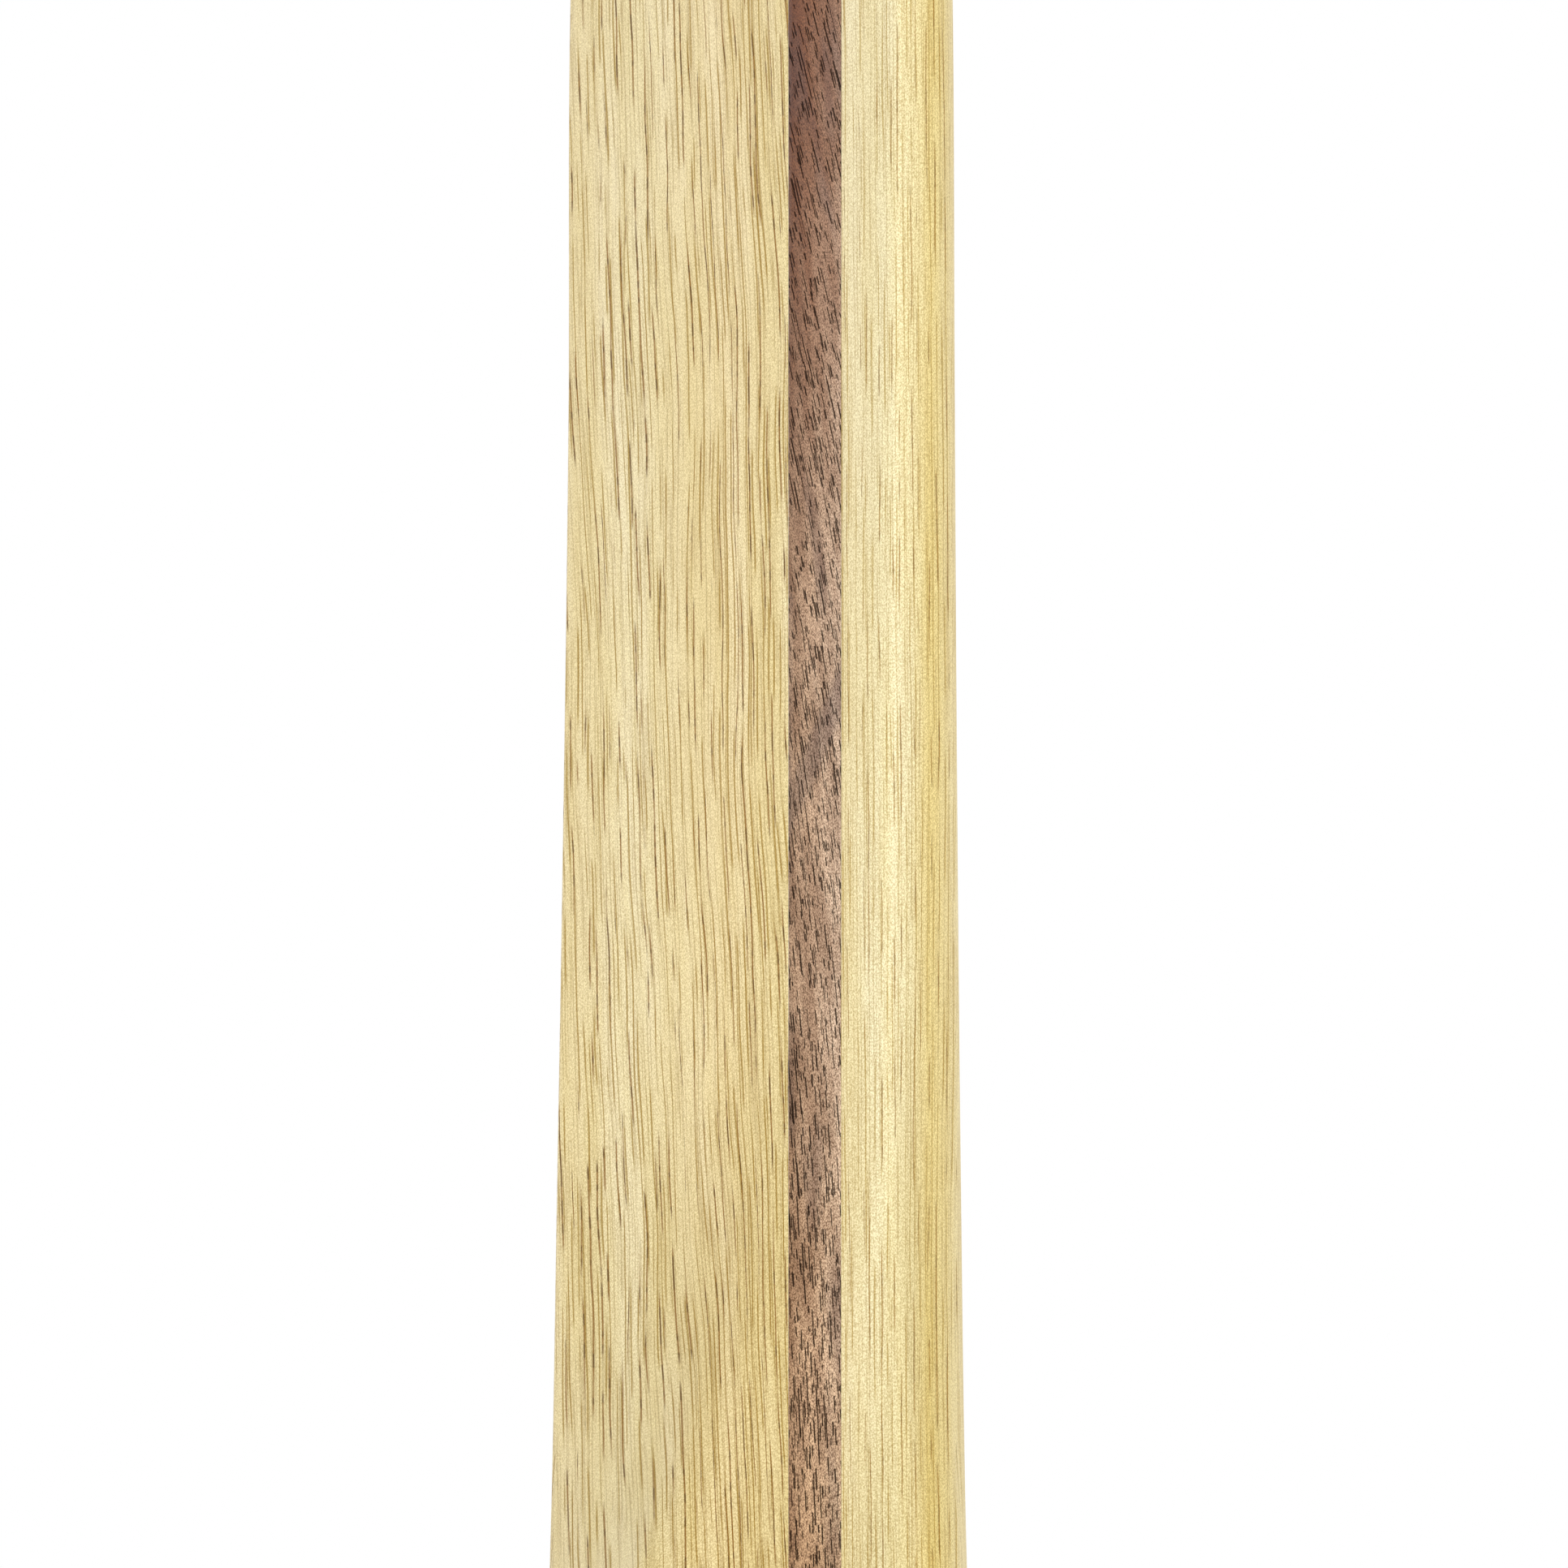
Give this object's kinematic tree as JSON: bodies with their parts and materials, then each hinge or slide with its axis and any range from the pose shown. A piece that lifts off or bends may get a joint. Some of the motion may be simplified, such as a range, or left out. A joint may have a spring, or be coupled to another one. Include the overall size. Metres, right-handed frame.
{
  "type": "wooden propeller",
  "caption": "Laminated wooden aircraft propeller with twisted blades and a walnut layer between pale boards, bolted to a flanged drive shaft that spins in a bearing housing.",
  "frame": {"origin": "centre of the bearing unit's rear mounting face, on the shaft axis", "axes": "+X forward along the shaft, away from the mounting face; +Z along the upper blade at rest"},
  "size_m": [0.1668, 0.1428, 1.3],
  "materials": {
    "limba": "satin varnish, pale",
    "walnut": "satin varnish, brown",
    "machined_aluminium": "turned",
    "cast_aluminium": "cast, matt",
    "ground_steel": "ground",
    "zinc_steel": "zinc plated",
    "black_steel": "black oxide",
    "bronze": "turned",
    "rubber": "matt"
  },
  "bodies": {
    "bearing_unit": {"bearing_housing": "cast_aluminium", "cover_screw_1": "black_steel", "cover_screw_2": "black_steel", "cover_screw_3": "black_steel", "cover_screw_4": "black_steel", "front_bearing_outer": "ground_steel", "rear_bearing_outer": "ground_steel", "rear_cover": "cast_aluminium", "shaft_seal": "rubber"},
    "propeller": {"bearing_spacer": "ground_steel", "drive_bush_1": "ground_steel", "drive_bush_2": "ground_steel", "drive_bush_3": "ground_steel", "drive_bush_4": "ground_steel", "drive_bush_5": "ground_steel", "drive_bush_6": "ground_steel", "front_bearing_inner": "ground_steel", "front_board": "limba", "front_plate": "machined_aluminium", "hub_bolt_1": "zinc_steel", "hub_bolt_2": "zinc_steel", "hub_bolt_3": "zinc_steel", "hub_bolt_4": "zinc_steel", "hub_bolt_5": "zinc_steel", "hub_bolt_6": "zinc_steel", "hub_bush": "bronze", "lock_nut_1": "zinc_steel", "lock_nut_2": "zinc_steel", "lock_nut_3": "zinc_steel", "lock_nut_4": "zinc_steel", "lock_nut_5": "zinc_steel", "lock_nut_6": "zinc_steel", "plate_washer_1": "zinc_steel", "plate_washer_2": "zinc_steel", "plate_washer_3": "zinc_steel", "plate_washer_4": "zinc_steel", "plate_washer_5": "zinc_steel", "plate_washer_6": "zinc_steel", "prop_shaft": "ground_steel", "rear_bearing_inner": "ground_steel", "rear_board": "limba", "shaft_lock_nut": "ground_steel", "shaft_lock_washer": "ground_steel", "walnut_layer": "walnut"},
    "front_ball_cage": {"front_bearing_balls": "bronze"},
    "rear_ball_cage": {"rear_bearing_balls": "bronze"}
  },
  "joints": [
    {"name": "spin", "type": "hinge", "parent": "bearing_unit", "child": "propeller", "pos_m": [0.1, 0, 0], "axis": [1, 0, 0], "continuous": true},
    {"name": "front_cage_roll", "type": "hinge", "parent": "bearing_unit", "child": "front_ball_cage", "pos_m": [0.0544, 0, 0], "axis": [1, 0, 0], "continuous": true},
    {"name": "rear_cage_roll", "type": "hinge", "parent": "bearing_unit", "child": "rear_ball_cage", "pos_m": [0.0225, 0, 0], "axis": [1, 0, 0], "continuous": true}
  ],
  "couplings": [
    {"joint": "front_cage_roll", "follows": "spin", "ratio": 0.3987},
    {"joint": "rear_cage_roll", "follows": "spin", "ratio": 0.3987}
  ]
}
